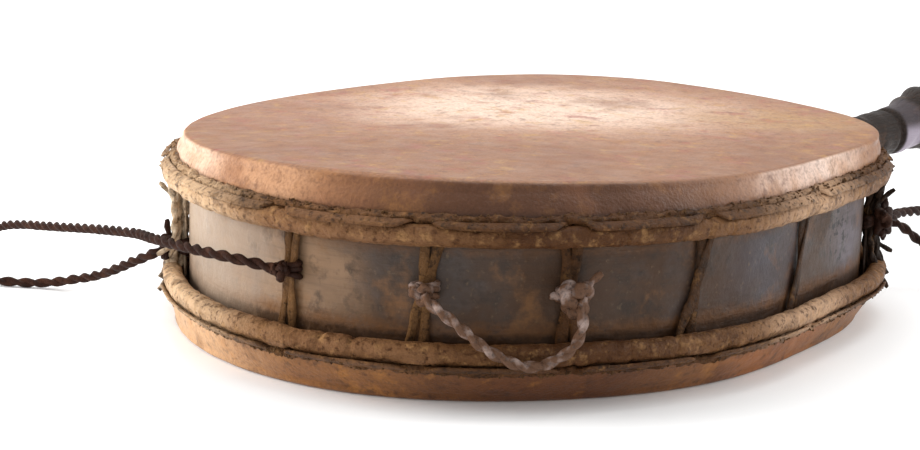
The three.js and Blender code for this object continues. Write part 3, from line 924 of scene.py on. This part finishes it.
def handle_lathe(name, profile, sides, carve, material):
    """Turned form along the handle: profile is (radius, distance from the shell) points, from axis to axis."""
    root, along, side, lift = handle_axes()
    rows = []
    for radius, distance in profile:
        row = []
        for turn in turns(sides):
            reach, rise = carve(radius, distance, turn) if carve else (radius, 0)
            row.append(root + along * distance * MM
                       + (side * cos(turn) + lift * sin(turn)) * reach * MM + lift * rise * MM)
        rows.append(row)
    lengths = [distance * MM for radius, distance in profile]
    return grid_mesh(name, rows, lengths, evenly(tau * HANDLE_UV_RADIUS * MM, sides), False, material)


# The turned outline: distance from the shell and radius, in millimetres
HANDLE_TURNING = [
    (0, 15), (8, 16), (14, 18.5), (19, 18.5), (24, 15), (60, 14), (118, 15), (126, 18.5), (134, 18.5),
    (140, 15), (147, 16.3), (154, 15.3), (163, 16.3), (172, 16), (179, 16.3), (184, 14.3), (189, 16.8),
    (206, 17.5), (220, 20.5), (240, 24), (258, 22), (272, 16), (280, 18.5), (291, 19.5), (301, 14),
]


def make_handle(material):
    """The handle with its tenon: turned, with grooves cut round its carved part like a screw."""
    knots = [Vector((d, r, 0)) for d, r in HANDLE_TURNING] + [Vector((HANDLE_END - 0.6, 7, 0))]
    outline = smooth_path(knots, 1.6)
    tip = -SHELL_THICKNESS - TENON_REACH
    profile = [(0, tip), (TENON_RADIUS - 0.8, tip), (TENON_RADIUS, tip + 0.8), (TENON_RADIUS, SEAT_GAP)]
    profile += [(point.y, point.x) for point in outline if point.x >= SEAT_GAP] + [(0, HANDLE_END)]

    def carve(radius, distance, turn):
        start, end = HANDLE_CARVED
        share = max(0, min(1, (distance - start) / (end - start)))
        bump = sin(pi * share)
        phase = HANDLE_GROOVES * (turn + tau * distance / HANDLE_GROOVE_PITCH)
        cut = (0.5 - 0.5 * cos(phase)) ** 0.6
        reach = radius - HANDLE_GROOVE_DEPTH * bump * (1 - cut) if radius else 0
        if radius > 4 and distance > 20:
            reach += 0.25 * wander(31, (distance, radius * cos(turn), radius * sin(turn)), 9)
        return reach, HANDLE_LIFT * bump

    return handle_lathe("carved_handle", profile, 96, carve, material)


# Cords and knots

def knot_centre(name):
    lace, height = KNOTS[name][:2]
    angle = radians(LACES[lace][0])
    return on_drum(LACE_OUTER, angle, height) + outward_at(angle) * (SEAT_GAP + KNOT_RADIUS) * MM


def make_cord(side, route, lay_length, ply_radius, material, seed):
    """Two plies twisted round each other along the route, from its first knot to its second one."""
    name = f"{side}_twisted_cord"
    points = [Vector(point) for point in route]
    first, second = (knot_centre(f"{side}_cord_knot_{number}") for number in (1, 2))
    path = smooth_path([points[0].lerp(first, 0.7)] + points + [points[-1].lerp(second, 0.7)], 0.0011)
    travelled = [0]
    for a, b in zip(path, path[1:]):
        travelled.append(travelled[-1] + (b - a).length)
    offset = (CORD_DIAMETER / 2 - ply_radius) * MM
    plies = []
    for ply in range(2):
        def centre(i):
            turn = tau * travelled[i] / (lay_length * MM) + pi * ply
            turn += 0.5 * waver(seed, travelled[i] * 1000, 30)
            return offset * cos(turn), offset * sin(turn)

        def radius(i, turn):
            place = (travelled[i] * 1000, ply * 40 + 2 * cos(turn), 2 * sin(turn))
            return (ply_radius + 0.22 * wander(seed + ply, place, 5)) * MM

        plies.append(open_tube(f"{name}_{ply}", path, Vector((0, 0, 1)), radius, travelled, ply_radius,
                               CORD_SIDES, material, centre))
    return join_pieces(name, plies), path


def stub(name, start, direction, length, radius, material, seed):
    """A short frayed end, thinner towards its tip."""
    count = 14
    along = direction.normalized()
    path = []
    for i in range(count):
        sway = Vector([waver(seed + axis, i, 5) for axis in range(3)])
        path.append(start + along * length * MM * i / (count - 1) + sway * 1.2 * MM * i / count)

    def radius_at(i, turn):
        return radius * MM * (1 - 0.45 * i / count) * (1 + 0.25 * cos(2 * turn + i * 0.6))

    return open_tube(name, path, Vector((0.3, 0.2, 1)), radius_at, evenly(length * MM, count - 1), radius,
                     CORD_SIDES, material)


def closed_tube(name, path, first_side, radius, sides, material):
    """A closed tube whose radius is a function of the step along the path and the turn round it."""
    count = len(path)
    rows = []
    for i, point in enumerate(path):
        tangent = (path[(i + 1) % count] - path[i - 1]).normalized()
        side = (first_side - tangent * first_side.dot(tangent)).normalized()
        lift = tangent.cross(side)
        rows.append([point + (side * cos(turn) + lift * sin(turn)) * radius(i, turn) * MM
                     for turn in turns(sides)])
    return grid_mesh(name, rows, evenly(path_length(path), count), evenly(tau * 2.5 * MM, sides), True,
                     material)


def make_knot(name, material, seed):
    """An overhand knot of twisted strip against the lace, three wraps round the lace's waist, and cut ends."""
    lace, height, size, ends = KNOTS[name]
    angle = radians(LACES[lace][0])
    outward = outward_at(angle)
    level = Vector((-outward.y, outward.x, 0))
    rise = Vector((0, 0, 1))
    centre = knot_centre(name) - outward * (1 - size) * KNOT_RADIUS * 0.6 * MM
    # The trefoil curve reaches 3 from its middle, and 2.2 mm are left for the strip's thickness
    reach = (KNOT_RADIUS - 2.2) / 3 * size
    path = []
    for t in turns(KNOT_STEPS):
        x = sin(t) + 2 * sin(2 * t)
        y = cos(t) - 2 * cos(2 * t)
        z = -sin(3 * t) * 1.3
        path.append(centre + (level * x + rise * y * 1.1 + outward * z) * reach * MM)

    def strand(i, turn):
        groove = 1 - 0.16 * cos(2 * (turn - tau * 6 * i / KNOT_STEPS))
        return KNOT_STRIP_RADIUS * size * groove * (1 + 0.12 * wander(seed, path[i] * 1000, 3.5))

    parts = [closed_tube(f"{name}_loop", path, outward, strand, 14, material)]
    waist = on_drum((LACE_OUTER + LACE_INNER) / 2, angle, height)
    for k, drop in enumerate(WRAP_DROPS):
        wrap = [waist + (level * cos(t) * 6.2 + outward * (sin(t) * 3.0 + 0.6)
                         + rise * (drop + 1.1 * sin(t + k))) * MM for t in turns(WRAP_STEPS)]

        def wrap_radius(i, turn):
            return WRAP_RADIUS * (1 + 0.2 * wander(seed + k, (i, turn * 2, 0), 5))

        parts.append(closed_tube(f"{name}_wrap_{k}", wrap, rise, wrap_radius, CORD_SIDES, material))
    for k, (dx, dz, length) in enumerate(ends):
        start = centre + (level * dx + rise * dz) * 0.7 * MM
        parts.append(stub(f"{name}_end_{k}", start, level * dx + rise * dz + outward, length * size,
                          2.1 * size, material, seed + 20 + k))
    return join_pieces(f"{name}_tie", parts)


# Scene

place_camera()

upper_hide = hide_material(
    "upper_rawhide", "#8f6140", [
        # The pale patch near the back middle of the head is a painted highlight
        ((5, 60, DRUM_HEIGHT), (225, 160, 60), "#cda286", 0.6),
        ((5, 60, DRUM_HEIGHT), (150, 112, 60), "#ebd0bb", 0.75),
        ((150, 40, DRUM_HEIGHT), (80, 60, 30), "#a9834f", 0.5),
        ((-150, 40, DRUM_HEIGHT), (90, 110, 25), "#8f6047", 0.5)], [
        # Skirt: pale at the left; darker at the front, partly painted shade; paler at the right as a painted
        # highlight, brightest in a band just under the crease
        ((-190, -70, 96), (85, 150, 60), "#d6b399", 0.97), ((14, -215, 95), (165, 100, 60), "#4c2a11", 0.97),
        ((-140, -165, 96), (58, 60, 60), "#b78a67", 0.85), ((168, -108, 96), (86, 95, 60), "#cda386", 0.95),
        ((160, -115, 107), (75, 95, 14), "#ecd3c4", 0.8)],
    crease_length(UPPER_HOOP_DROP),
    [(17, 5, 0.55, 0.68, "#97463d", 0.55), (13, 5, 0.56, 0.68, "#b5883f", 0.55)],
    [(70, 4, 0.5, 0.64, "#7f5135", 0.55), (22, 4, 0.54, 0.68, "#9c6a38", 0.4),
     (6, 4, 0.54, 0.7, "#5d3824", 0.55), (1.9, 3, 0.45, 0.72, "#5f3d2b", 0.5)], (99, 94), 0.4)
lower_hide = hide_material(
    "lower_rawhide", "#85562b", [], [
        # Skirt: pale at the left, and darker at the front, partly painted shade
        ((-185, -90, 10), (95, 150, 60), "#c2986f", 0.97), ((18, -215, 8), (118, 80, 60), "#5f3415", 0.9),
        ((150, -140, 10), (90, 80, 60), "#9c5c25", 0.85)],
    crease_length(LOWER_HOOP_HEIGHT), [],
    [(40, 4, 0.5, 0.64, "#4e2a0f", 0.65), (16, 5, 0.54, 0.68, "#ad7333", 0.6),
     (5, 4, 0.54, 0.7, "#40230f", 0.65), (1.9, 3, 0.45, 0.75, "#45291a", 0.4)], (16, 21), 0.38)
# Both hoops, and the thongs on them, are pale at the left, darker at the front, partly as painted shade, and
# paler at the right
hoop_spots = [
    ((-180, -100, 60), (80, 150, 90), "#d3b18c", 0.95), ((-85, -200, 60), (60, 60, 90), "#7b573b", 0.7),
    ((25, -215, 60), (120, 80, 90), "#4d2d13", 0.9), ((162, -118, 60), (78, 82, 90), "#caa482", 0.9)]
hoop_hide = rawhide_material("rolled_rawhide", "#7b5636", hoop_spots, "#40220b", "#ad8354", 0.58, 1.0)
thong_hide = rawhide_material("rawhide_thong", "#5d3d22", [(c, r, code, share * 0.92)
                                                          for c, r, code, share in hoop_spots],
                              "#2a190c", "#9a6f42", 0.6, 1.0)
lace_hide = rawhide_material("rawhide_lace", "#472d17", [
    ((-200, -50, 57), (40, 60, 60), "#e0c9ac", 0.85), ((-90, -200, 57), (60, 60, 60), "#85603a", 0.7),
    ((10, -215, 57), (50, 60, 60), "#5d3b1f", 0.6), ((150, -140, 57), (60, 60, 60), "#3b2310", 0.7),
    ((205, 20, 57), (40, 90, 60), "#20130a", 0.95)], "#221408", "#8f663a", 0.62, 1.3)
crumb_hide = rawhide_material("dirt_crumbs", "#5f4329", hoop_spots[:1], "#2a1a10", "#94704b", 0.85, 0.7)
bent_wood = shell_material()
carved_wood = handle_material()
dark_cord = cord_material("dark_twisted_rawhide", "#2a150c", "#4a2e20", "#100805", 0.6)
# The front cord's grey mottling is partly wear and partly painted highlights
grey_cord = cord_material("worn_and_highlit_twisted_rawhide", "#5f4433", "#b09c94", "#1e120b", 0.5)

left_cord, left_path = make_cord("left", LEFT_ROUTE, 21, 1.8, dark_cord, 41)
front_cord, front_path = make_cord("front", FRONT_ROUTE, 19, 1.9, grey_cord, 43)
right_cord, right_path = make_cord("right", RIGHT_ROUTE, 20, 1.8, dark_cord, 45)

# Each piece with the CAD nodes that it stands for and its slot
pieces = {
    make_shell(bent_wood): (["shell"], "shell_wood"),
    make_head("upper_hide_head", UPPER_HOOP_DROP, False, upper_hide): (["upper_head"], "upper_hide"),
    make_head("lower_hide_head", LOWER_HOOP_HEIGHT, True, lower_hide): (["lower_head"], "lower_hide"),
}
crumbs = crumb_tree(crumb_hide)
for name, height, side, seed in (("upper", UPPER_HOOP_HEIGHT, 1, 61), ("lower", LOWER_HOOP_HEIGHT, -1, 67)):
    hoop = make_hoop(f"{name}_rolled_hoop", height, seed, hoop_hide)
    pieces[hoop] = ([f"{name}_hoop"], "hoop_hide")
    thong = make_thong(f"{name}_run_thong", height, side, seed + 3, thong_hide)
    pieces[thong] = ([f"{name}_thong"], "lacing")
    edge = make_torn_edge(f"{name}_torn_edge", height + side * (HOOP_RADIUS + 1.6), seed + 5, thong_hide)
    pieces[edge] = ([], f"{name}_hide")
    pieces[make_crumbs(f"{name}_edge_crumbs", edge, crumbs, 1.0, 75000, seed)] = ([], f"{name}_hide")
    pieces[make_crumbs(f"{name}_thong_crumbs", thong, crumbs, 0.8, 26000, seed + 1)] = ([], "lacing")
for number, (at, lean, kind) in enumerate(LACES):
    pieces[make_lace(number, at, lean, kind, lace_hide)] = ([f"lace_{number + 1:02d}"], "lacing")
pieces[make_handle(carved_wood)] = (["handle"], "handle_wood")
knot_pieces = {}
for seed, name in enumerate(KNOTS):
    look = grey_cord if name.startswith("front") else dark_cord
    knot_pieces[name] = make_knot(name, look, 80 + seed)
    pieces[knot_pieces[name]] = ([name], "cord_rawhide")
pieces[left_cord] = (["left_cord"], "cord_rawhide")
pieces[front_cord] = (["front_cord"], "cord_rawhide")
pieces[right_cord] = (["right_cord"], "cord_rawhide")

for piece, (nodes, slot) in pieces.items():
    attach(piece, "root")
    if nodes:
        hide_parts(*nodes)

for piece, path, side in ((left_cord, left_path, "left"), (front_cord, front_path, "front"),
                          (right_cord, right_path, "right")):
    tuple(path[0])
    round(path_length(path), 3)
    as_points(path)

floor_mesh = bpy.data.meshes.new("floor")
floor_mesh.from_pydata([(-6, -6, 0), (6, -6, 0), (6, 6, 0), (-6, 6, 0)], [], [(0, 1, 2, 3)])
floor = finish_mesh("floor", floor_mesh, stage_material())

world = bpy.data.worlds.new("studio")
bpy.context.scene.world = world
world.use_nodes = True
background = world.node_tree.nodes["Background"].inputs
background["Color"].default_value = (1, 1, 1, 1)
background["Strength"].default_value = 0.72
add_light("overhead_softbox", (0.1, 0.7, 1.9), (0.05, 0.25, 0), (2.4, 2.0), 30)
add_light("back_softbox", (-0.1, 3.2, 1.0), (0, 0, 0.1), (1.5, 1.2), 2.4)
add_light("left_softbox", (-1.6, 0.05, 0.5), (-0.1, 0, 0.05), (1.2, 0.9), 38)
# The low left light gives no sheen: seen from the right it would burn out the upper head
bpy.data.objects["left_softbox"].visible_glossy = False
add_light("right_softbox", (1.7, 0.2, 0.8), (0.1, 0, 0.05), (0.9, 1.0), 13)
bpy.context.scene.view_settings.view_transform = "Standard"
